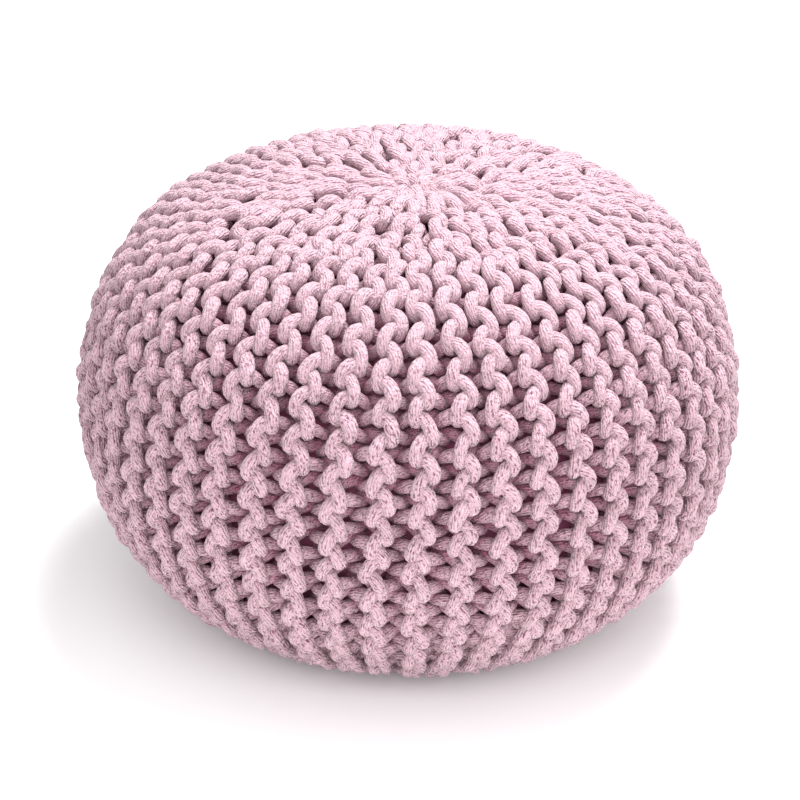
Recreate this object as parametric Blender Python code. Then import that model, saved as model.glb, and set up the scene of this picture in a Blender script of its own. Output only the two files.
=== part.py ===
"""Knitted pouf: a filled round floor cushion in a garter-knit cotton cover.

One solid, because the cover is knitted in one piece and drawn up over its filling. The ridges of
the knit run from the gathered top, over the side and in under the foot. All round the widest part
there are RIDGE_COUNT of them, and towards each gathered end the shorter ones stop, so that only a
few reach the middle. Metres, +Z up, origin at the centre of the flat foot.
"""

import math

import bmesh
import bpy
import numpy as np

# Driving dimensions of the body, measured over the crests of the ridges.
WIDEST_RADIUS = 0.250
HEIGHT = 0.342
WIDEST_HEIGHT = 0.171  # height above the floor of the widest part
UPPER_FULLNESS = (3.74, 2.00)  # exponents of the upper half's outline, outwards and upwards
LOWER_FULLNESS = (3.08, 2.01)  # the same for the lower half
LOWER_DEPTH = 0.179  # the lower half's outline is cut off flat at the floor, a little above its end

# The knit.
RIDGE_COUNT = 52
RIDGE_DEPTH = 0.0085  # crest to valley, about one thickness of the cord
CREST_SHARE = 0.44  # share of a ridge's width taken by its rounded crest
FADE_LENGTH = 0.030  # over which a ridge dies out at its end

# The gathered top: a shallow hollow where the cord is drawn tight.
GATHER_RADIUS = 0.034
GATHER_DEPTH = 0.007

# How fine the solid is.
UPPER_RINGS = 17
LOWER_RINGS = 14
FOOT_RINGS = 3
POINTS_PER_RIDGE = 3

# Where ridges stop, as every n-th ridge counted from an offset, and the distance from the axis at
# which its crest has died out.
RIDGE_ENDS = (
    # every, offset, end_radius
    (2, 1, 0.115),
    (4, 2, 0.066),
    (8, 4, 0.036),
    (8, 0, 0.016),
)


def upper_outline(share):
    """Radius and height of the upper half's outline, from the top (0) to the widest part (1)."""
    angle = share * math.pi / 2
    out, up = UPPER_FULLNESS
    radius = WIDEST_RADIUS * math.sin(angle) ** (2 / out)
    height = WIDEST_HEIGHT + (HEIGHT - WIDEST_HEIGHT) * math.cos(angle) ** (2 / up)
    return radius, height


def lower_outline(share):
    """Radius and height of the lower half's outline, from the widest part (0) to the floor (1)."""
    out, down = LOWER_FULLNESS
    floor_angle = math.asin((WIDEST_HEIGHT / LOWER_DEPTH) ** (down / 2))
    angle = share * floor_angle
    radius = WIDEST_RADIUS * math.cos(angle) ** (2 / out)
    height = WIDEST_HEIGHT - LOWER_DEPTH * math.sin(angle) ** (2 / down)
    return radius, max(height, 0.0)


def gather(radius):
    """How far the top is drawn down at this distance from the axis."""
    return GATHER_DEPTH * math.exp(-((radius / GATHER_RADIUS) ** 2))


def evenly(points, count):
    """Points at even steps along a polyline, as many as asked, its ends among them."""
    points = np.array(points)
    steps = np.linalg.norm(np.diff(points, axis=0), axis=1)
    along = np.concatenate(([0.0], np.cumsum(steps)))
    wanted = np.linspace(0, along[-1], count)
    return np.stack([np.interp(wanted, along, points[:, axis]) for axis in (0, 1)], axis=1)


def outline():
    """Radius and height of each ring between the top and foot centres, from the top down."""
    fine = 400
    upper = [upper_outline(step / fine) for step in range(fine + 1)]
    lower = [lower_outline(step / fine) for step in range(fine + 1)]
    upper = [(radius, height - gather(radius)) for radius, height in upper]
    foot_radius = lower[-1][0]
    foot = [(foot_radius * ring / FOOT_RINGS, 0.0) for ring in range(FOOT_RINGS - 1, 0, -1)]
    rings = list(evenly(upper, UPPER_RINGS + 1))[1:]
    rings += list(evenly(lower, LOWER_RINGS + 1))[1:]
    return [tuple(ring) for ring in rings] + foot


def ridge_end(ridge):
    """Distance from the axis at which this ridge has died out."""
    for every, offset, end_radius in RIDGE_ENDS:
        if ridge % every == offset:
            return end_radius
    raise ValueError(f"no end is given for ridge {ridge}")


def valley_depth(ridge, radius, height):
    """Depth of the valley beside this ridge, below the crests. The foot has none."""
    grown = min(max((radius - ridge_end(ridge)) / FADE_LENGTH, 0.0), 1.0)
    above_floor = min(height / RIDGE_DEPTH, 1.0)
    return RIDGE_DEPTH * grown * above_floor


def outward(rings, index):
    """Unit normal of the outline at a ring, as its radial and upward parts."""
    before = rings[index - 1] if index else (0.0, rings[0][1])
    after = rings[min(index + 1, len(rings) - 1)]
    along = np.array(after) - np.array(before)
    normal = np.array([-along[1], along[0]])
    return normal / np.linalg.norm(normal)


def ring_points(rings, index):
    """The points of one ring, POINTS_PER_RIDGE for each ridge: a valley and two on the crest."""
    radius, height = rings[index]
    normal = outward(rings, index)
    points = []
    for ridge in range(RIDGE_COUNT):
        depth = valley_depth(ridge, radius, height)
        for place, below in ((0.0, depth), (0.5 - CREST_SHARE / 2, 0.0), (0.5 + CREST_SHARE / 2, 0.0)):
            angle = (ridge + place) / RIDGE_COUNT * 2 * math.pi
            out, up = np.array([radius, height]) - below * normal
            points.append((out * math.cos(angle), out * math.sin(angle), up))
    return points


def build_pouf(collection):
    """The pouf's solid: a sphere whose rings are laid on the outline and its ridges."""
    rings = outline()
    around = RIDGE_COUNT * POINTS_PER_RIDGE
    mesh = bpy.data.meshes.new("knitted_pouf")
    shape = bmesh.new()
    bmesh.ops.create_uvsphere(shape, u_segments=around, v_segments=len(rings) + 1, radius=1.0)
    by_height = {}
    for vertex in shape.verts:
        by_height.setdefault(round(vertex.co.z, 5), []).append(vertex)
    levels = [by_height[level] for level in sorted(by_height, reverse=True)]
    levels[0][0].co = (0.0, 0.0, HEIGHT - GATHER_DEPTH)
    levels[-1][0].co = (0.0, 0.0, 0.0)
    for index, level in enumerate(levels[1:-1]):
        points = ring_points(rings, index)
        for vertex in level:
            turn = math.atan2(vertex.co.y, vertex.co.x) / (2 * math.pi)
            vertex.co = points[round(turn * around) % around]
    bmesh.ops.triangulate(shape, faces=shape.faces)
    bmesh.ops.recalc_face_normals(shape, faces=shape.faces)
    shape.to_mesh(mesh)
    shape.free()
    mesh.shade_smooth()
    pouf = bpy.data.objects.new("knitted_pouf", mesh)
    collection.objects.link(pouf)
    return pouf


def cotton_cord():
    """Dusty pink cotton cord, matt and softly fibrous."""
    material = bpy.data.materials.new("cotton_cord")
    material.use_nodes = True
    shader = material.node_tree.nodes["Principled BSDF"]
    shader.inputs["Base Color"].default_value = (0.72, 0.49, 0.55, 1.0)
    shader.inputs["Roughness"].default_value = 0.9
    shader.inputs["Metallic"].default_value = 0.0
    return material


def main():
    for thing in list(bpy.data.objects):
        bpy.data.objects.remove(thing, do_unlink=True)
    collection = bpy.data.collections.new("Knitted pouf")
    bpy.context.scene.collection.children.link(collection)
    pouf = build_pouf(collection)
    pouf.data.materials.append(cotton_cord())


main()
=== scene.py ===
"""Looks of the knitted pouf: every loop of its garter-knit cotton cord, the lining and the room.

The cover is knitted sideways. Each course of loops runs from the gathered top, over the side and
in under the foot, and two courses make a ridge. The loops are laid out on the body's outline by a
formula, settled as soft cords that push each other apart, and swept into round ones, which overlap
where real cord is squashed. Metres, +Z up, origin at the centre of the foot.
"""

import logging
import math
from dataclasses import dataclass, field
from enum import Enum

import bpy
import numpy as np
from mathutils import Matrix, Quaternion, Vector


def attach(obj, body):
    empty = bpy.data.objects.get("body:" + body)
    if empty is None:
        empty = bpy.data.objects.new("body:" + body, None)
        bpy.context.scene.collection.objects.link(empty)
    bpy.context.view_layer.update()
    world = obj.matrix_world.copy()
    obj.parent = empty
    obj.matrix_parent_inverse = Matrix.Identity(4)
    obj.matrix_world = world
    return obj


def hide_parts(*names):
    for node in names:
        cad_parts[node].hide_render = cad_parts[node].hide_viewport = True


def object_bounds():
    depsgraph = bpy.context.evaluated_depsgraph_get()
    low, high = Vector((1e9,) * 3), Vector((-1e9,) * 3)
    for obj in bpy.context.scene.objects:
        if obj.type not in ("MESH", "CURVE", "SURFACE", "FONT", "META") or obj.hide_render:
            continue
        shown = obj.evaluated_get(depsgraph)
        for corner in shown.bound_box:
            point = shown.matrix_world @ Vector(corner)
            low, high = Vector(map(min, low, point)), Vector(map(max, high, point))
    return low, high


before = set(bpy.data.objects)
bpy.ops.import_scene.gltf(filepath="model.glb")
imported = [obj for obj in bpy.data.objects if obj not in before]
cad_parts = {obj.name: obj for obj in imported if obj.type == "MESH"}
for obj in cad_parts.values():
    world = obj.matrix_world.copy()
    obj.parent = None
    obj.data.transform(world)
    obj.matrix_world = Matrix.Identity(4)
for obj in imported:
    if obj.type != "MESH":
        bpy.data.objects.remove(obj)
CAD_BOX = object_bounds()
POUF_NODE = "knitted_pouf"
CORD_MAP = "cord"
DEPTH_ATTRIBUTE = "depth"
FULL_TURN = 2 * math.pi
FARTHEST_CHANCE = 2.0

Array = np.ndarray
Tree = bpy.types.NodeTree
Node = bpy.types.Node
Socket = bpy.types.NodeSocket
Piece = bpy.types.Object
Chance = np.random.Generator

log = logging.getLogger("knitted_pouf")


# ---- Helpers ----


def linear(hex_colour: str) -> tuple[float, float, float, float]:
    """Turns an sRGB hex colour into linear values.

    Args:
        hex_colour: six hex digits, with or without a leading hash.

    Returns:
        Red, green, blue and an alpha of 1.
    """
    digits = hex_colour.lstrip("#")
    parts = [int(digits[at : at + 2], 16) / 255 for at in (0, 2, 4)]
    return (*(p / 12.92 if p <= 0.04045 else ((p + 0.055) / 1.055) ** 2.4 for p in parts), 1.0)


def add_node(tree: Tree, kind: str, settings: dict, links: dict) -> Node:
    """Adds a node with its settings and the links into it.

    Args:
        tree: the material's node tree.
        kind: the node's type, such as "Math".
        settings: attribute names, or input names or numbers, and their values.
        links: input names or numbers, and the sockets that feed them, or nodes for their first.

    Returns:
        The new node.
    """
    made = tree.nodes.new(f"ShaderNode{kind}")
    for name, value in settings.items():
        if isinstance(name, str) and hasattr(made, name):
            setattr(made, name, value)
        else:
            made.inputs[name].default_value = value
    for name, source in links.items():
        socket = source.outputs[0] if isinstance(source, Node) else source
        tree.links.new(socket, made.inputs[name])
    return made


def smoothstep(share: Array) -> Array:
    """Eases from 0 to 1 as the share goes from 0 to 1."""
    held = np.clip(share, 0.0, 1.0)
    return held * held * (3 - 2 * held)


def unit(vectors: Array) -> Array:
    """The vectors, each made one long."""
    return vectors / np.maximum(np.linalg.norm(vectors, axis=-1, keepdims=True), 1e-12)


# ---- Finishes ----


class Twist(Enum):
    """Which way a cord's strands wind round it."""

    LEFT_HANDED = -1
    RIGHT_HANDED = 1


@dataclass(frozen=True)
class CottonCord:
    """Cotton cord: many soft strands laid side by side with a slow twist, dyed and left matt.

    Sizes, depths and heights are in metres. A shade is how much of the painted shade in the grooves
    there is, of which the lit top share is left at the top, where the light is brightest. The other
    shares are of the relief.
    """

    colour: str = "#c7a3af"
    painted_groove_shade: str = "#663147"
    recess_shade_colour: str = "#a35775"
    recess_shade_depths: tuple[float, float] = (0.0065, 0.022)
    roughness: float = 0.88
    sheen: float = 0.25
    sheen_roughness: float = 0.5
    specular: float = 0.25
    strands: int = 14
    twist: Twist = Twist.RIGHT_HANDED
    turns_per_girth: float = 0.35
    relief_depth: float = 0.0029
    strand_share: float = 0.30
    wander: float = 3.0
    wander_size: float = 0.00625
    fibre_scale: float = 3.0
    fibre_crowding: float = 4.5
    fibre_detail: float = 2.0
    fibre_roughness: float = 0.6
    grain_size: float = 0.0018
    grain_share: float = 0.50
    lump_size: float = 0.0040
    lump_share: float = 1.2
    grain_detail: float = 1.0
    grain_roughness: float = 0.5
    fleck_shade: float = 0.85
    fleck_range: tuple[float, float] = (0.38, 0.46)
    seam_shade: float = 0.30
    seam_width: float = 0.45
    lit_top_share: float = 0.35
    lit_top_heights: tuple[float, float] = (0.25, 0.33)

    def material(self) -> bpy.types.Material:
        """Builds the cord's material.

        Strands are rounded bands wound round the cord, uneven because slow noise shifts them. Finer
        streaks along the bands are the fibres, and grains and lumps over both come from the soft,
        loose way that it is laid. Shade is painted into the colour: darker in the grooves where two
        strands meet and in specks where the fibres lie lowest, a darker mauve the deeper a point lies
        in the knit, and less of this painted shade at the top, where the light is brightest. To the eye
        it is a soft matt cord with fine slanting lines, darker where two strands meet and mauve in the
        gaps.

        Returns:
            The material, which reads the piece's own UV map and depth attribute, and Object
            coordinates.
        """
        made = bpy.data.materials.new("twisted cotton cord")
        made.use_nodes = True
        tree = made.node_tree
        shader = tree.nodes["Principled BSDF"]
        shader.inputs["Roughness"].default_value = self.roughness
        shader.inputs["Sheen Weight"].default_value = self.sheen
        shader.inputs["Sheen Roughness"].default_value = self.sheen_roughness
        shader.inputs["Specular IOR Level"].default_value = self.specular
        spot = add_node(tree, "TexCoord", {}, {}).outputs["Object"]
        pattern = self.add_pattern(tree, spot)
        relief = self.add_relief(tree, spot, *pattern)
        colour_with_painted_shade = self.add_colour_and_painted_shade(tree, spot, *pattern)
        tree.links.new(relief.outputs[0], shader.inputs["Normal"])
        tree.links.new(colour_with_painted_shade.outputs[2], shader.inputs["Base Color"])
        return made

    def add_pattern(self, tree: Tree, spot: Socket) -> tuple[Node, Node]:
        """Adds the fibres and the strands that they lie in.

        Args:
            tree: the material's node tree.
            spot: the Object coordinates.

        Returns:
            The fibres' noise, and the strands' height, which is 0 where two strands meet.
        """
        # The turn round the cord, wound along with the strands.
        place = add_node(tree, "UVMap", {"uv_map": CORD_MAP}, {})
        wind = (1.0, self.twist.value * self.turns_per_girth, 0.0)
        wound = add_node(tree, "VectorMath", {"operation": "DOT_PRODUCT", 1: wind}, {0: place})
        turned = wound.outputs["Value"]

        # Fibres: noise on a cylinder, so that it has no seam, drawn out along the strands.
        angle = add_node(tree, "Math", {"operation": "MULTIPLY", 1: FULL_TURN}, {0: turned})
        cosine = add_node(tree, "Math", {"operation": "COSINE"}, {0: angle})
        sine = add_node(tree, "Math", {"operation": "SINE"}, {0: angle})
        girths = add_node(tree, "SeparateXYZ", {}, {0: place}).outputs["Y"]
        along = add_node(tree, "Math", {"operation": "MULTIPLY", 1: self.fibre_crowding}, {0: girths})
        streak = add_node(tree, "CombineXYZ", {}, {0: cosine, 1: sine, 2: along})
        fineness = {"Detail": self.fibre_detail, "Roughness": self.fibre_roughness}
        fibres = add_node(tree, "TexNoise", {"Scale": self.fibre_scale, **fineness}, {"Vector": streak})

        # Strands: bands round the cord, shifted by slow noise so that none is quite straight.
        wander = add_node(tree, "TexNoise", {"Scale": 1 / self.wander_size, **fineness}, {"Vector": spot})
        count = add_node(tree, "Math", {"operation": "MULTIPLY", 1: math.pi * self.strands}, {0: turned})
        links = {0: wander, 2: count}
        shifted = add_node(tree, "Math", {"operation": "MULTIPLY_ADD", 1: self.wander}, links)
        wave = add_node(tree, "Math", {"operation": "SINE"}, {0: shifted})
        return fibres, add_node(tree, "Math", {"operation": "ABSOLUTE"}, {0: wave})

    def add_relief(self, tree: Tree, spot: Socket, fibres: Node, strands: Node) -> Node:
        """Adds the fine relief: strands with the fibres' streaks on them, grains and lumps.

        Args:
            tree: the material's node tree.
            spot: the Object coordinates.
            fibres: the fibres' noise.
            strands: the strands' height.

        Returns:
            The bump node.
        """
        layers = {0: strands, 2: fibres}
        height = add_node(tree, "Math", {"operation": "MULTIPLY_ADD", 1: self.strand_share}, layers)
        fineness = {"Detail": self.grain_detail, "Roughness": self.grain_roughness}
        for size, share in ((self.grain_size, self.grain_share), (self.lump_size, self.lump_share)):
            bits = add_node(tree, "TexNoise", {"Scale": 1 / size, **fineness}, {"Vector": spot})
            layers = {0: bits, 2: height}
            height = add_node(tree, "Math", {"operation": "MULTIPLY_ADD", 1: share}, layers)
        return add_node(tree, "Bump", {"Strength": 1.0, "Distance": self.relief_depth}, {"Height": height})

    def add_colour_and_painted_shade(self, tree: Tree, spot: Socket, fibres: Node, strands: Node) -> Node:
        """Adds the colour with painted shade: darker deep in the knit, in the grooves and in specks between
        fibres.

        Args:
            tree: the material's node tree.
            spot: the Object coordinates.
            fibres: the fibres' noise.
            strands: the strands' height.

        Returns:
            The node that mixes the colour.
        """
        # Painted shade: dark specks where the fibres' noise is lowest, where the relief dips too, and dark
        # lines where two strands meet.
        low, high = self.fleck_range
        fade = {"From Min": low, "From Max": high, "To Min": self.fleck_shade, "To Max": 0.0}
        fleck_shade_mask = add_node(tree, "MapRange", fade, {"Value": fibres})
        fade = {"From Min": 0.0, "From Max": self.seam_width, "To Min": self.seam_shade, "To Max": 0.0}
        seam_shade_mask = add_node(tree, "MapRange", fade, {"Value": strands})
        groove = add_node(tree, "Math", {"operation": "MAXIMUM"}, {0: fleck_shade_mask, 1: seam_shade_mask})
        # Painted light: the painted shade in the grooves fades towards the top, where the light is brightest.
        smooth = {"interpolation_type": "SMOOTHSTEP"}
        low, high = self.lit_top_heights
        fade = {"From Min": low, "From Max": high, "To Min": 1.0, "To Max": self.lit_top_share}
        up = add_node(tree, "SeparateXYZ", {}, {0: spot}).outputs["Z"]
        kept = add_node(tree, "MapRange", smooth | fade, {"Value": up})
        groove = add_node(tree, "Math", {"operation": "MULTIPLY"}, {0: groove, 1: kept})
        # Painted shade: a darker mauve the deeper a point lies below the crests, where less light reaches.
        low, high = self.recess_shade_depths
        depth = add_node(tree, "Attribute", {"attribute_name": DEPTH_ATTRIBUTE}, {}).outputs["Fac"]
        sunk = add_node(tree, "MapRange", smooth | {"From Min": low, "From Max": high}, {"Value": depth})
        # A Mix node for colours has them at its inputs 6 and 7, and the mixed one at its output 2.
        colours = {6: linear(self.colour), 7: linear(self.recess_shade_colour)}
        colour_with_painted_shade = add_node(tree, "Mix", {"data_type": "RGBA"} | colours, {0: sunk})
        painted_groove_shade = {7: linear(self.painted_groove_shade)}
        return add_node(tree, "Mix", {"data_type": "RGBA"} | painted_groove_shade, {0: groove, 6: colour_with_painted_shade.outputs[2]})


@dataclass(frozen=True)
class PlainFinish:
    """A matt finish of one even colour."""

    name: str
    colour: str
    roughness: float

    def material(self) -> bpy.types.Material:
        """Builds the finish's material.

        Returns:
            The material.
        """
        made = bpy.data.materials.new(self.name)
        made.use_nodes = True
        shader = made.node_tree.nodes["Principled BSDF"]
        shader.inputs["Base Color"].default_value = linear(self.colour)
        shader.inputs["Roughness"].default_value = self.roughness
        return made


@dataclass(frozen=True)
class LiningCloth(PlainFinish):
    """Plain woven cotton, dyed darker than the cord: even, as its weave is too fine to show."""

    name: str = "woven cotton lining"
    colour: str = "#8c4563"
    roughness: float = 0.95


@dataclass(frozen=True)
class PaperFloor(PlainFinish):
    """White background paper, unrolled as a floor: even and matt."""

    name: str = "white paper floor"
    colour: str = "#fafafa"
    roughness: float = 0.9


# ---- The body that the knit is stretched over ----


@dataclass
class Body:
    """The pouf's round body, as an outline turned about the Z axis.

    The outline is that of the ridges' crests: two superellipse quarters that meet where the pouf is
    widest, with a flat foot and a shallow gather at the top. A fullness is the quarter's exponents,
    outwards and upwards or downwards. Every other surface lies at some depth below the crests.
    """

    radius: float
    height: float
    widest_share: float = 0.5
    upper_fullness: tuple[float, float] = (3.74, 2.00)
    lower_fullness: tuple[float, float] = (3.08, 2.01)
    lower_depth_share: float = 1.05
    gather_radius: float = 0.034
    gather_depth: float = 0.002
    rounding: float = 0.010
    step: float = 0.001
    quarter_points: int = 600
    centre_crowding: float = 1.5

    def crest(self) -> Array:
        """Draws the crest outline.

        Returns:
            Radius and height of points along it, from the top centre to the foot's.
        """
        quarter = math.pi / 2
        turn = np.linspace(0, quarter, self.quarter_points) ** self.centre_crowding
        turn /= quarter ** (self.centre_crowding - 1)
        widest = self.height * self.widest_share
        out, up = self.upper_fullness
        across = self.radius * np.sin(turn) ** (2 / out)
        above = widest + (self.height - widest) * np.cos(turn) ** (2 / up)
        above -= self.gather_depth * smoothstep(1 - across / self.gather_radius)
        upper = np.stack([across, above], axis=1)
        out, down = self.lower_fullness
        depth = widest * self.lower_depth_share
        floor_turn = math.asin((widest / depth) ** (down / 2))
        turn = np.linspace(0, floor_turn, self.quarter_points)[1:]
        across = self.radius * np.cos(turn) ** (2 / out)
        lower = np.stack([across, widest - depth * np.sin(turn) ** (2 / down)], axis=1)
        lower[-1, 1] = 0.0
        return np.concatenate([upper, lower, [[0.0, 0.0]]])

    def sunk(self, points: Array) -> Array:
        """Measures how far points lie below the ridges' crests, towards the body's middle.

        Args:
            points: the points.

        Returns:
            Each one's depth.
        """
        middle = np.array([0.0, 0.5 * self.height])
        crest = self.crest() - middle
        places = np.column_stack([np.hypot(points[:, 0], points[:, 1]), points[:, 2]]) - middle
        tilt, crest_tilt = np.arctan2(*places.T), np.arctan2(*crest.T)
        return np.interp(tilt, crest_tilt, np.hypot(*crest.T)) - np.hypot(*places.T)

    def at_depth(self, depth: float) -> "Surface":
        """Works out the surface at a depth below the crests, with its tight bends rounded.

        Args:
            depth: how deep it lies.

        Returns:
            The surface.
        """
        line = evenly(self.crest(), self.step)
        sunk = line - depth * line_normals(line)
        sunk[0, 0] = sunk[-1, 0] = 0.0
        sunk[:, 0] = np.maximum(sunk[:, 0], 0.0)
        for _ in range(int((self.rounding / self.step) ** 2)):
            sunk[1:-1] += 0.25 * (sunk[2:] - 2 * sunk[1:-1] + sunk[:-2])
        return Surface(evenly(sunk, self.step))


def evenly(line: Array, step: float) -> Array:
    """Points along a polyline at even steps.

    Args:
        line: radius and height of the polyline's points.
        step: about how far apart the new points are.

    Returns:
        The new points, the polyline's ends among them.
    """
    along = running_sum(np.linalg.norm(np.diff(line, axis=0), axis=1))
    wanted = np.linspace(0, along[-1], int(round(along[-1] / step)) + 1)
    return np.stack([np.interp(wanted, along, line[:, axis]) for axis in (0, 1)], axis=1)


def running_sum(steps: Array) -> Array:
    """The sum so far before each step and after the last."""
    return np.concatenate([[0.0], np.cumsum(steps)])


def line_normals(line: Array) -> Array:
    """Outward normals of an outline that runs from the top centre down to the foot's."""
    along = unit(np.gradient(line, axis=0))
    return np.stack([-along[:, 1], along[:, 0]], axis=1)


@dataclass
class Surface:
    """A surface of revolution, read by its distance along the outline and its azimuth."""

    line: Array
    smoothed_steps: int = 20

    def __post_init__(self) -> None:
        """Works out the distances along the outline and its normals."""
        self.along = running_sum(np.linalg.norm(np.diff(self.line, axis=0), axis=1))
        self.normal = line_normals(self.line)
        self.length = float(self.along[-1])

    def radius_at(self, distance: Array) -> Array:
        """Distance from the axis, at this distance along the outline."""
        return np.interp(distance, self.along, self.line[:, 0])

    def height_at(self, distance: Array) -> Array:
        """Height above the floor, at this distance along the outline."""
        return np.interp(distance, self.along, self.line[:, 1])

    def curvature(self) -> Array:
        """Measures how fast the outline turns.

        Returns:
            The turn at each point, in radians a metre, more than 0 where it bulges.
        """
        angle = np.unwrap(np.arctan2(self.normal[:, 1], self.normal[:, 0]))
        turning = -np.gradient(angle, self.along)
        window = np.hanning(2 * self.smoothed_steps + 1)
        padded = np.pad(turning, self.smoothed_steps, mode="edge")
        return np.convolve(padded, window / window.sum(), mode="valid")

    def place(self, distance: Array, azimuth: Array, out: Array) -> Array:
        """Points in space.

        Args:
            distance: how far along the outline from the top centre.
            azimuth: turn about the Z axis, in radians.
            out: how far outside the surface.

        Returns:
            An array of points, three numbers each.
        """
        normal_r = np.interp(distance, self.along, self.normal[:, 0])
        normal_z = np.interp(distance, self.along, self.normal[:, 1])
        radius = self.radius_at(distance) + out * normal_r
        height = self.height_at(distance) + out * normal_z
        return np.stack([radius * np.cos(azimuth), radius * np.sin(azimuth), height], axis=-1)


# ---- The cords: where they run, how they settle and how they are swept ----


@dataclass
class Cords:
    """The points of every cord, one cord after another, and what is known of each point.

    A cord is a ridge's two courses, joined in a round turn at both ends, so it has no end itself.
    Lift and sag say which way a point is pushed while the cords settle, from -1 to 1. Front is 1
    where a point is at the front of the knit and -1 at the back.
    """

    points: Array
    cord_of: Array
    stitch_of: Array
    lift: Array
    sag: Array
    front: Array

    def members(self, cord: int) -> Array:
        """The numbers of this cord's points, in order."""
        return np.flatnonzero(self.cord_of == cord)


@dataclass(frozen=True)
class Settling:
    """How the cords settle: they keep their length, resist bends and push each other apart.

    Jitters and pushes are per stitch and per round, in metres where they move a point. The holds
    say how much of an error is put right in one round. Softness is how far apart touching cords are
    kept, as a share of their thickness, and a reach is times that distance.
    """

    rounds: int = 200
    eased_rounds: int = 80
    search_rounds: int = 15
    search_reach: float = 1.35
    own_neighbours: int = 3
    softness: float = 0.56
    contact_hold: float = 1.5
    length_hold: float = 0.45
    place_hold: float = 0.3
    stiffness: float = 0.5
    lift_push: float = -0.00008
    sag_push: float = 0.00004
    length_jitter: float = 0.05
    place_jitter: float = 0.0006

    def settle(self, cords: Cords, diameter: float, floor: float, middle: Array, chance: Chance) -> None:
        """Moves the cords' points until they have settled.

        Args:
            cords: the cords, whose points are changed.
            diameter: the cords' thickness.
            floor: the lowest height for a cord's centre line.
            middle: the middle of the body.
            chance: where the random numbers come from.
        """
        points = cords.points.copy()
        count = len(points)
        following, place_in, length_of = (np.empty(count, dtype=int) for _ in range(3))
        for cord in range(cords.cord_of[-1] + 1):
            members = cords.members(cord)
            following[members] = np.roll(members, -1)
            place_in[members] = np.arange(len(members))
            length_of[members] = len(members)
        before = np.empty(count, dtype=int)
        before[following] = np.arange(count)
        sizes = np.bincount(cords.stitch_of)
        anchor = group_mean(points, cords.stitch_of, sizes)
        length = 1 + self.length_jitter * cut_off(chance.normal(size=len(sizes)))
        anchor += self.place_jitter * cut_off(chance.normal(size=anchor.shape))
        rest = length[cords.stitch_of]
        laid = np.linalg.norm(points[following] - points, axis=1)
        touch = self.softness * diameter
        outward = unit(points - middle)
        downward = unit(np.cross(np.cross(outward, [0.0, 0.0, -1.0]), outward))
        lifted = self.lift_push * cords.lift[:, None] * outward
        leaning = lifted + self.sag_push * cords.sag[:, None] * downward
        for turn in range(self.rounds):
            eased = min(1.0, turn / self.eased_rounds)
            if turn % self.search_rounds == 0:
                first, second = close_pairs(points, self.search_reach * touch)
                apart = np.abs(place_in[first] - place_in[second])
                apart = np.minimum(apart, length_of[first] - apart)
                others = cords.cord_of[first] != cords.cord_of[second]
                keep = others | (apart > self.own_neighbours)
                first, second = first[keep], second[keep]
            points += self.contact_push(points, first, second, touch)
            # Each bit of cord keeps its length.
            run = points[following] - points
            far = np.linalg.norm(run, axis=1)
            wanted = (1 + (rest - 1) * eased) * laid
            pull = run / np.maximum(far, 1e-9)[:, None] * (0.5 * (far - wanted))[:, None]
            points += self.length_hold * (pull - pull[before])
            # The cord resists sharp bends.
            bend = 0.5 * (points[following] + points[before]) - points
            points -= self.stiffness * (0.5 * (bend[following] + bend[before]) - bend)
            # The lower end of each loop lies over the upper end of the next.
            points += leaning * eased
            # Each stitch stays at its place in the cloth, and nothing goes through the floor.
            drift = anchor - group_mean(points, cords.stitch_of, sizes)
            points += self.place_hold * drift[cords.stitch_of]
            points[:, 2] = np.maximum(points[:, 2], floor)
        cords.points = points
        closest = np.linalg.norm(points[second] - points[first], axis=1).min()
        log.info("closest approach of two cords %.2f mm", 1000 * closest)

    def contact_push(self, points: Array, first: Array, second: Array, touch: float) -> Array:
        """Pushes apart the points that are closer than cords are kept.

        Args:
            points: the cords' points.
            first: the first point's number of each pair.
            second: the second point's number of each pair.
            touch: how far apart touching cords are kept.

        Returns:
            The push on every point.
        """
        count = len(points)
        gap = points[second] - points[first]
        far = np.linalg.norm(gap, axis=1)
        press = np.maximum(touch - far, 0.0)
        push = gap / np.maximum(far, 1e-9)[:, None] * (0.5 * press)[:, None]
        hits = np.bincount(first, press > 0, count) + np.bincount(second, press > 0, count)
        shift = scatter(push, second, count) - scatter(push, first, count)
        return shift / np.maximum(hits, 1)[:, None] * self.contact_hold


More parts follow.
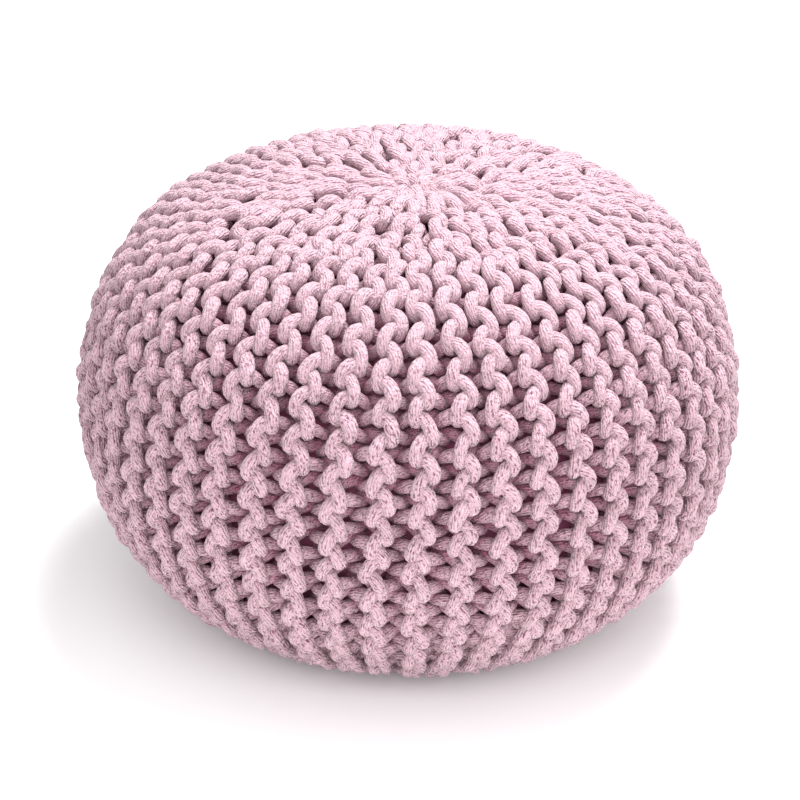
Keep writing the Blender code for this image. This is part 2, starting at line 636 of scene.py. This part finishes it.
@dataclass(frozen=True)
class RoundCord:
    """The solid cord: how thick it is, and how close together the rings of its skin are.

    Rings are closer together in bends, and farther apart at the back of the knit, where the cord is
    also a little thinner, as it is stretched tight there.
    """

    diameter: float = 0.0100
    unevenness: float = 0.07
    back_share: float = 0.88
    back_from: float = 0.15
    back_span: float = 0.8
    ring_gap: float = 0.0048
    hidden_below: float = -0.5
    hidden_closeness: float = 0.6
    line_detail: int = 6
    sides: int = 10

    def mesh(self, name: str, cords: Cords, numbers: range, body: Body, seed: int) -> Piece:
        """Makes one mesh of some of the cords.

        Args:
            name: the piece's name.
            cords: all the cords, settled.
            numbers: which of them this piece has.
            body: the body, for how deep each point of the skin lies.
            seed: where the random numbers start.

        Returns:
            The mesh object, with its UV map round and along the cord and its depth attribute.
        """
        runs = [cords.members(number) for number in numbers]
        chance = np.random.default_rng(seed + int(runs[0][0]))
        skins = [self.skin(cords.points[run], cords.front[run], chance) for run in runs]
        starts = running_sum([len(vertices) for vertices, _, _ in skins])[:-1].astype(int)
        vertices = np.concatenate([skin[0] for skin in skins])
        faces = np.concatenate([skin[1] + start for skin, start in zip(skins, starts)])
        mesh = bpy.data.meshes.new(name)
        mesh.from_pydata(vertices, [], faces)
        layer = mesh.uv_layers.new(name=CORD_MAP)
        layer.uv.foreach_set("vector", np.concatenate([skin[2] for skin in skins]).ravel())
        depth = mesh.attributes.new(DEPTH_ATTRIBUTE, "FLOAT", "POINT")
        depth.data.foreach_set("value", body.sunk(vertices))
        mesh.shade_smooth()
        made = bpy.data.objects.new(name, mesh)
        bpy.context.scene.collection.objects.link(made)
        return made

    def skin(self, points: Array, front: Array, chance: Chance) -> tuple[Array, Array, Array]:
        """Sweeps a round, slightly uneven section along a closed line.

        Args:
            points: the cord's points in order.
            front: how far in front each is.
            chance: where the random numbers come from.

        Returns:
            The skin's points, its faces of four corners, and the UV place of every corner, counted
            in turns round the cord and in girths along it.
        """
        line, front = self.rings(points, front)
        top, side = closed_frame(line)
        turn = FULL_TURN * np.arange(self.sides) / self.sides
        ring = np.cos(turn)[None, :, None] * top[:, None] + np.sin(turn)[None, :, None] * side[:, None]
        thickness = 1 + self.unevenness * slow_noise(chance, len(line))
        thickness *= 1 - (1 - self.back_share) * smoothstep((self.back_from - front) / self.back_span)
        vertices = line[:, None] + 0.5 * self.diameter * thickness[:, None, None] * ring
        here = np.arange(len(line) * self.sides).reshape(len(line), self.sides)
        beside = np.roll(here, -1, axis=1)
        corners = [here, beside, np.roll(beside, -1, axis=0), np.roll(here, -1, axis=0)]
        faces = np.stack(corners, axis=-1).reshape(-1, 4)
        along = running_sum(np.linalg.norm(np.roll(line, -1, axis=0) - line, axis=1))
        along /= math.pi * self.diameter
        along *= round(along[-1]) / along[-1]
        around = np.arange(self.sides + 1) / self.sides
        near_u, near_v = np.meshgrid(around[:-1], along[:-1])
        far_u, far_v = np.meshgrid(around[1:], along[1:])
        places = np.stack([near_u, near_v, far_u, near_v, far_u, far_v, near_u, far_v], axis=-1)
        return vertices.reshape(-1, 3), faces, places.reshape(-1, 2)

    def rings(self, points: Array, front: Array) -> tuple[Array, Array]:
        """Chooses where along a closed cord its rings go.

        Args:
            points: the cord's points in order, which a cubic B-spline smooths.
            front: how far in front each is.

        Returns:
            The rings' centres, and how far in front each is.
        """
        share = np.arange(self.line_detail)[:, None] / self.line_detail
        weights = [
            (1 - share) ** 3 / 6,
            (3 * share**3 - 6 * share**2 + 4) / 6,
            (-3 * share**3 + 3 * share**2 + 3 * share + 1) / 6,
            share**3 / 6,
        ]
        near = [np.roll(points, 1 - shift, axis=0) for shift in range(4)]
        fine = sum(weight[None] * part[:, None] for weight, part in zip(weights, near)).reshape(-1, 3)
        front = np.repeat(front, self.line_detail)
        step = np.linalg.norm(np.roll(fine, -1, axis=0) - fine, axis=1)
        tangent = unit(np.roll(fine, -2, axis=0) - np.roll(fine, 2, axis=0))
        bend = np.linalg.norm(np.roll(tangent, -2, axis=0) - np.roll(tangent, 2, axis=0), axis=1) / (4 * step)
        hidden = np.where(front < self.hidden_below, self.hidden_closeness, 1.0)
        closeness = np.sqrt(1 + (self.diameter * bend) ** 2) * hidden
        along = running_sum(step * closeness)
        count = int(round(along[-1] / self.ring_gap))
        wanted = np.arange(count) / count * along[-1]
        whole = np.concatenate([np.column_stack([fine, front]), [[*fine[0], front[0]]]])
        picked = np.stack([np.interp(wanted, along, whole[:, axis]) for axis in range(4)], axis=1)
        return picked[:, :3], picked[:, 3]


def closed_frame(line: Array) -> tuple[Array, Array]:
    """Two directions across a closed line at every point, turning about it as little as possible.

    Args:
        line: the points, the last of which joins the first.

    Returns:
        The two directions, at right angles to each other and to the line.
    """
    tangent = unit(np.roll(line, -1, axis=0) - np.roll(line, 1, axis=0))
    first = np.empty_like(line)
    now = unit(np.cross(tangent[0], [0.0, 0.0, 1.0]) + 1e-6)
    for at, along in enumerate(tangent):
        now = now - along * (now @ along)
        now = now / math.sqrt(now @ now)
        first[at] = now
    second = np.cross(tangent, first)
    # What is left over after one way round is shared out evenly.
    end = now - tangent[0] * (now @ tangent[0])
    left = math.atan2(end @ second[0], end @ first[0])
    turn = -left * np.arange(len(line))[:, None] / len(line)
    return np.cos(turn) * first + np.sin(turn) * second, np.cos(turn) * second - np.sin(turn) * first


def cut_off(noise: Array) -> Array:
    """Random numbers held within what still looks made by hand."""
    return noise.clip(-FARTHEST_CHANCE, FARTHEST_CHANCE)


def slow_noise(chance: Chance, count: int) -> Array:
    """Draws noise that changes slowly along a closed row.

    Args:
        chance: where the random numbers come from.
        count: how many places the row has.

    Returns:
        The noise, about 1 in size.
    """
    noise = chance.normal(size=count)
    for _ in range(2):
        noise = np.roll(noise, 1) + noise + np.roll(noise, -1)
    return cut_off(noise / noise.std())


def group_mean(points: Array, group: Array, sizes: Array) -> Array:
    """Mean point of each group."""
    return scatter(points, group, len(sizes)) / sizes[:, None]


def scatter(values: Array, at: Array, count: int) -> Array:
    """Adds up the values that fall at each place."""
    return np.stack([np.bincount(at, values[:, axis], count) for axis in range(3)], axis=1)


def close_pairs(points: Array, reach: float) -> tuple[Array, Array]:
    """Finds the pairs of points that are closer than a reach, each pair once.

    Points are sorted into cells one reach wide, so that only neighbouring cells are searched.

    Args:
        points: the points.
        reach: the largest distance, in metres.

    Returns:
        The first and the second point's number of each pair.
    """
    cell = np.floor(points / reach).astype(np.int64)
    cell -= cell.min(axis=0)
    across = cell.max(axis=0) + 3
    key = (cell[:, 0] * across[1] + cell[:, 1]) * across[2] + cell[:, 2]
    order = np.argsort(key, kind="stable")
    ranked = key[order]
    firsts, seconds = [], []
    number = np.arange(len(points))
    shifts = [(x * across[1] + y) * across[2] + z for x in (-1, 0, 1) for y in (-1, 0, 1) for z in (-1, 0, 1)]
    for shift in shifts:
        if shift < 0:
            continue
        begin = np.searchsorted(ranked, key + shift, "left")
        size = np.searchsorted(ranked, key + shift, "right") - begin
        first = np.repeat(number, size)
        inside = np.arange(size.sum()) - np.repeat(np.cumsum(size) - size, size)
        second = order[np.repeat(begin, size) + inside]
        keep = np.linalg.norm(points[first] - points[second], axis=1) < reach
        if shift == 0:
            keep &= first < second
        firsts.append(first[keep])
        seconds.append(second[keep])
    return np.concatenate(firsts), np.concatenate(seconds)


# ---- The knit ----


@dataclass
class GarterKnit:
    """The knitted cover: ridges of two courses each, from the gathered top to the gathered foot.

    Lengths are in metres, along the body's outline or across it. Radii are distances from the axis.
    A reach, a lean or an end's turn is in stitches or in gaps between courses, and an opening is in
    steps. A relief is a share of the loops' full rise, and it is low from a share of the height.
    """

    body: Body
    cord: RoundCord = field(default_factory=RoundCord)
    settling: Settling = field(default_factory=Settling)
    ridges: int = 52
    ridges_per_piece: int = 4
    front_degrees: float = -87.6
    stitch: float = 0.0234
    stitch_growth: float = 0.80
    points_per_stitch: int = 20
    middle_depth: float = 0.0165
    loop_reach: float = 0.87
    loop_lean: float = 0.19
    loop_rise: float = 0.0090
    centre_relief: float = 0.62
    flat_radius: float = 0.090
    low_relief: float = 0.5
    low_from: float = 0.5
    low_span: float = 0.3
    closest_ridges: float = 0.0170
    centre_ridges: int = 7
    centre_radius: float = 0.006
    spoke_radii: tuple[float, float] = (0.030, 0.075)
    fade: float = 0.030
    fade_lead: float = 0.4
    end_reach: float = 0.006
    end_turn: float = 0.35
    end_opening: float = 0.35
    sway_sizes: tuple[float, float] = (0.0022, 0.0014)
    sway_waves: int = 6
    sway_turns: int = 7
    sway_per_metre: float = 60.0
    sway_radius: float = 0.05
    seed: int = 7

    def __post_init__(self) -> None:
        """Works out the cords' middle surface."""
        self.middle = self.body.at_depth(self.middle_depth)

    def lay_out(self) -> Cords:
        """Sets every loop of cord on the body's middle surface, before it settles.

        The tables in here have a row for each course and a column for each step along it.

        Returns:
            The cords.
        """
        distance, pitch = self.stitch_steps()
        radius = self.middle.radius_at(distance)
        centre, there = self.place_courses(distance, radius)
        ahead, behind = (gap_to_next(centre, there, step) for step in (1, -1))

        # Loops lie flatter near the centre and the foot, and those at the centre end in spokes.
        flat = smoothstep((radius - self.flat_radius) / self.flat_radius)
        relief = self.centre_relief + (1 - self.centre_relief) * flat
        height = self.middle.height_at(distance) / self.body.height
        relief *= 1 - (1 - self.low_relief) * smoothstep((self.low_from - height) / self.low_span)
        inner, outer = self.spoke_radii
        spoke = smoothstep((radius - inner) / (outer - inner))

        # Loops reach over the course on one side of theirs and under that on the other, in turn.
        step, course = np.arange(len(distance)), np.arange(2 * self.ridges)[:, None]
        phase = FULL_TURN * step / self.points_per_stitch
        swing = np.cos(phase)
        face = np.where(course % 2 == 0, 1.0, -1.0)
        reach = np.where(swing > 0, ahead, behind) * self.loop_reach * swing * spoke
        rise = face * self.loop_rise * swing * relief * spoke
        sway_along, sway_across = self.sway(distance, centre)
        lean = self.loop_lean * pitch * np.sin(2 * phase) * spoke + sway_along
        centre = centre + sway_across / np.maximum(radius, self.sway_radius)

        # A ridge's two courses meet in a round turn at each end.
        closing = self.end_turns(there)
        middle = np.repeat(0.5 * (centre[0::2] + centre[1::2]), 2, axis=0)
        points = self.middle.place(
            distance + closing * lean,
            middle + closing * (centre + reach - middle),
            closing * rise + self.loop_rise * (1 - relief * spoke),
        )
        lift = closing * (face * np.sin(phase) * relief * spoke)
        sag = closing * (np.cos(2 * phase) * spoke)
        cord_of = np.broadcast_to(course // 2, there.shape)
        stitch_of = (step + course % 2 * len(step)) // self.points_per_stitch + cord_of * 2 * len(step)
        tables = (points, cord_of, stitch_of, lift, sag, closing * rise / self.loop_rise)
        cords = Cords(*(round_trips(table, there) for table in tables))
        stitches, cords.stitch_of = np.unique(cords.stitch_of, return_inverse=True)
        log.info("laid out %d points in %d stitches", len(cords.points), len(stitches))
        return cords

    def stitch_steps(self) -> tuple[Array, Array]:
        """Shares a course out into whole stitches, longer where the body narrows.

        A stitch is as long as it should be at the crests, so it is shorter on the middle surface.

        Returns:
            The distance along the outline of every step of a stitch, and the stitch's length there.
        """
        thinned = self.ridges * self.closest_ridges / FULL_TURN
        narrow = 1 - np.maximum(self.middle.line[:, 0], thinned) / self.body.radius
        bend = np.maximum(self.middle.curvature(), 0.0)
        pitch = self.stitch * (1 + self.stitch_growth * narrow) / (1 + self.middle_depth * bend)
        counted = running_sum(np.diff(self.middle.along) / (0.5 * (pitch[1:] + pitch[:-1])))
        steps = int(round(counted[-1])) * self.points_per_stitch
        distance = np.interp(np.arange(steps + 1) / steps * counted[-1], counted, self.middle.along)
        return distance, np.interp(distance, self.middle.along, pitch)

    def place_courses(self, distance: Array, radius: Array) -> tuple[Array, Array]:
        """Shares the way round out among the ridges that are there, and those among their courses.

        Args:
            distance: how far along the outline each step is.
            radius: distance from the axis of each step.

        Returns:
            Each course's azimuth, and whether it is there, at each step.
        """
        top_half = distance < self.middle.length / 2
        ends_top, ends_foot = self.ridge_ends(0), self.ridge_ends(self.ridges // 3)
        ends = np.where(top_half[None, :], ends_top[:, None], ends_foot[:, None])
        width = smoothstep((radius[None, :] - ends + self.fade_lead * self.fade) / self.fade)
        width = np.where(ends <= self.centre_radius, 1.0, width)
        there = radius[None, :] >= np.maximum(ends - self.end_reach, self.centre_radius)
        total = width.sum(axis=0)
        edge = np.concatenate([np.zeros((1, len(radius))), np.cumsum(width, axis=0)]) / total
        centre = np.zeros((2 * self.ridges, len(radius)))
        for course, share in enumerate((0.25, 0.75)):
            centre[course::2] = edge[:-1] + share * width / total
        first = math.radians(self.front_degrees + 0.5 * 360 / self.ridges)
        return first + centre * 2 * math.pi, np.repeat(there, 2, axis=0)

    def ridge_ends(self, offset: int) -> Array:
        """Distance from the axis at which each ridge ends, thinned out evenly by the golden ratio.

        Args:
            offset: where in the sequence to start, so that top and foot differ.

        Returns:
            One radius for each ridge.
        """
        golden = (math.sqrt(5) - 1) / 2
        spread = ((np.arange(self.ridges) + offset) * golden) % 1.0
        rank = np.argsort(np.argsort(spread))
        ends = self.closest_ridges * (rank + 0.5) / FULL_TURN
        return np.where(rank < self.centre_ridges, self.centre_radius, ends)

    def end_turns(self, there: Array) -> Array:
        """Works out how far a ridge's two courses have come apart after the turn at its ends.

        Args:
            there: whether each course is there at each step.

        Returns:
            A share for each step, 1 except near the ends.
        """
        step = np.arange(there.shape[1])
        first = there.argmax(axis=1)[:, None]
        last = step[-1] - there[:, ::-1].argmax(axis=1)[:, None]
        from_end = np.minimum(step - first, last - step) + self.end_opening
        turn = np.clip(from_end / (self.end_turn * self.points_per_stitch), 0, 1)
        return np.sqrt(1 - (1 - turn) ** 2)

    def sway(self, distance: Array, azimuth: Array) -> tuple[Array, Array]:
        """How far the cloth as a whole is pushed along and across its courses, in slow waves.

        Args:
            distance: how far along the outline from the top centre.
            azimuth: turn about the Z axis, a row for each course.

        Returns:
            The push along and the push across, in metres.
        """
        chance = np.random.default_rng(self.seed + 1)
        pushes = []
        for size in self.sway_sizes:
            total = np.zeros_like(azimuth)
            for _ in range(self.sway_waves):
                across = chance.integers(-self.sway_turns, self.sway_turns + 1)
                along = chance.uniform(-self.sway_per_metre, self.sway_per_metre)
                total += np.sin(across * azimuth + along * distance + chance.uniform(0, FULL_TURN))
            pushes.append(size * total / self.sway_waves**0.5)
        return pushes[0], pushes[1]

    def build(self) -> list[Piece]:
        """Lays out and settles the cords, and sweeps them into pieces of a few ridges each.

        Returns:
            The pieces, in order round the pouf.
        """
        cords = self.lay_out()
        floor = 0.5 * self.cord.diameter * (1 + FARTHEST_CHANCE * self.cord.unevenness)
        middle = np.array([0, 0, 0.5 * self.body.height])
        chance = np.random.default_rng(self.seed)
        self.settling.settle(cords, self.cord.diameter, floor, middle, chance)
        pieces = []
        for start in range(0, self.ridges, self.ridges_per_piece):
            group = range(start, min(start + self.ridges_per_piece, self.ridges))
            name = f"knit_ridges_{start + 1:02d}_to_{group[-1] + 1:02d}"
            pieces.append(self.cord.mesh(name, cords, group, self.body, self.seed + 2))
        return pieces

    def dress(self, pieces: list[Piece], finish: CottonCord) -> None:
        """Gives the pieces their finish and their place in the frame.

        Args:
            pieces: the knit's pieces.
            finish: the cord's finish.
        """
        material = finish.material()
        for piece in pieces:
            piece.data.materials.append(material)
            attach(piece, "root")
            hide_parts(POUF_NODE)


def gap_to_next(centre: Array, there: Array, step: int) -> Array:
    """How far each course is from the next one that is still there.

    Args:
        centre: each course's azimuth, a row for each course.
        there: whether each course is there, laid out alike.
        step: 1 for the next course ahead, -1 for the one behind.

    Returns:
        The gaps, in radians.
    """
    nearest = np.full_like(centre, np.nan)
    last = np.full(centre.shape[1], np.nan)
    # Twice round, so that the first courses meet the last.
    for course in [*range(len(centre))[::-step]] * 2:
        nearest[course] = last
        last = np.where(there[course], centre[course], last)
    return (step * (nearest - centre)) % FULL_TURN


def round_trips(table: Array, there: Array) -> Array:
    """Strings courses together by ridges: back along one course and out again along the next.

    Args:
        table: a row for each course and a column for each step along it.
        there: whether each course is there, laid out alike.

    Returns:
        What the table says of every point of every cord, in order.
    """
    trips = []
    for row in range(0, len(table), 2):
        inside = np.flatnonzero(there[row])
        span = slice(inside[0], inside[-1] + 1)
        trips += [table[row, span][::-1], table[row + 1, span]]
    return np.concatenate(trips)


# ---- The lining ----


@dataclass
class Lining:
    """The cloth lining, filled tight: the deepest loops sink into it."""

    body: Body
    depth: float = 0.0260
    around: int = 128
    along: int = 64

    def build(self) -> Piece:
        """Lays a sphere's points on the surface at the lining's depth, as one closed skin.

        Returns:
            The lining.
        """
        surface = self.body.at_depth(self.depth)
        bpy.ops.object.select_all(action="DESELECT")
        bpy.ops.mesh.primitive_uv_sphere_add(segments=self.around, ring_count=self.along, radius=1.0)
        made = bpy.context.object
        made.name = made.data.name = "lining"
        sphere = np.empty(3 * len(made.data.vertices))
        made.data.vertices.foreach_get("co", sphere)
        sphere = sphere.reshape(-1, 3)
        down = np.arccos(np.clip(sphere[:, 2], -1, 1)) / math.pi * surface.length
        azimuth = np.arctan2(sphere[:, 1], sphere[:, 0])
        laid = surface.place(down, azimuth, np.zeros(len(sphere)))
        made.data.vertices.foreach_set("co", laid.ravel())
        made.data.update()
        made.data.shade_smooth()
        return made

    def dress(self, piece: Piece, finish: LiningCloth) -> None:
        """Gives the lining its finish and its place in the frame.

        Args:
            piece: the lining.
            finish: the cloth's finish.
        """
        piece.data.materials.clear()
        piece.data.materials.append(finish.material())
        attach(piece, "root")
        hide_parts(POUF_NODE)


# ---- The room ----


@dataclass
class Softbox:
    """One square soft light: where its middle is, its side in metres and its power."""

    name: str
    place: tuple[float, float, float]
    size: float
    watts: float

    def add(self, toward: Vector) -> None:
        """Adds the light.

        Args:
            toward: the point that it faces.
        """
        data = bpy.data.lights.new(self.name, "AREA")
        data.size = self.size
        data.energy = self.watts
        light = bpy.data.objects.new(self.name, data)
        light.location = self.place
        light.rotation_mode = "QUATERNION"
        light.rotation_quaternion = (toward - Vector(self.place)).to_track_quat("-Z", "Y")
        bpy.context.scene.collection.objects.link(light)


@dataclass
class Studio:
    """A white floor, soft light from above and over the floor, and the camera.

    The camera stands in front of the pouf, at this distance from the aim and this far up. The aim
    falls on the aim's pixel of a square image, whose focal length is in pixels too.
    """

    aim: Vector = field(default_factory=lambda: Vector((0.0, 0.0, 0.17)))
    distance: float = 2.0
    elevation: float = math.radians(27.0)
    roll: float = 0.023
    sensor: float = 36.0
    focal_pixels: float = 2627.0
    image_pixels: float = 800.0
    aim_pixel: tuple[float, float] = (408.1, 388.0)
    floor_size: float = 30.0
    world_colour: str = "#ffffff"
    world_strength: float = 0.85
    key: Softbox = field(default_factory=lambda: Softbox("top softbox", (0.35, 0.2, 1.7), 0.7, 48.0))
    low: Softbox = field(default_factory=lambda: Softbox("floor softbox", (0.15, -1.5, 0.7), 1.6, 30.0))

    def add_camera(self) -> None:
        """Adds the camera, turned a little aside so that the pouf stands where it should."""
        data = bpy.data.cameras.new("camera")
        data.sensor_width = self.sensor
        data.lens = self.focal_pixels / self.image_pixels * self.sensor
        camera = bpy.data.objects.new("camera", data)
        bpy.context.scene.collection.objects.link(camera)
        back = Vector((0, -math.cos(self.elevation), math.sin(self.elevation)))
        camera.location = self.aim + self.distance * back
        right = Vector((1, 0, 0))
        up = back.cross(right)
        per_pixel = self.distance / self.focal_pixels
        off_x = (self.aim_pixel[0] - self.image_pixels / 2) * per_pixel
        off_y = (self.aim_pixel[1] - self.image_pixels / 2) * per_pixel
        target = self.aim - off_x * right + off_y * up
        look = (target - camera.location).to_track_quat("-Z", "Y")
        camera.rotation_mode = "QUATERNION"
        camera.rotation_quaternion = look @ Quaternion((0, 0, 1), self.roll)
        bpy.context.scene.camera = camera

    def add_floor(self, finish: PaperFloor) -> None:
        """Adds the floor.

        Args:
            finish: the floor's finish.
        """
        bpy.ops.object.select_all(action="DESELECT")
        bpy.ops.mesh.primitive_plane_add(size=self.floor_size)
        floor = bpy.context.object
        floor.name = "floor"
        floor.data.materials.append(finish.material())

    def add_lights(self) -> None:
        """Adds the soft light above, the low one over the floor in front and the pale surroundings."""
        world = bpy.data.worlds.new("studio")
        bpy.context.scene.world = world
        world.use_nodes = True
        background = world.node_tree.nodes["Background"]
        background.inputs["Color"].default_value = linear(self.world_colour)
        background.inputs["Strength"].default_value = self.world_strength
        self.key.add(self.aim)
        self.low.add(Vector((*self.low.place[:2], 0.0)))
        bpy.context.scene.view_settings.view_transform = "Standard"


def main() -> None:
    """Builds the studio, the lining and the knit in order, and reports each."""
    logging.basicConfig(level=logging.INFO, format="%(message)s")
    studio = Studio()
    studio.add_camera()
    studio.add_floor(PaperFloor())
    studio.add_lights()
    low, high = CAD_BOX
    body = Body(radius=(high.x - low.x) / 2, height=high.z)
    lining = Lining(body)
    skin = lining.build()
    lining.dress(skin, LiningCloth())
    knit = GarterKnit(body)
    pieces = knit.build()
    knit.dress(pieces, CottonCord())
    for piece in (skin, *pieces):
        log.info("%s: %d faces", piece.name, len(piece.data.polygons))


if __name__ == "__main__":
    main()
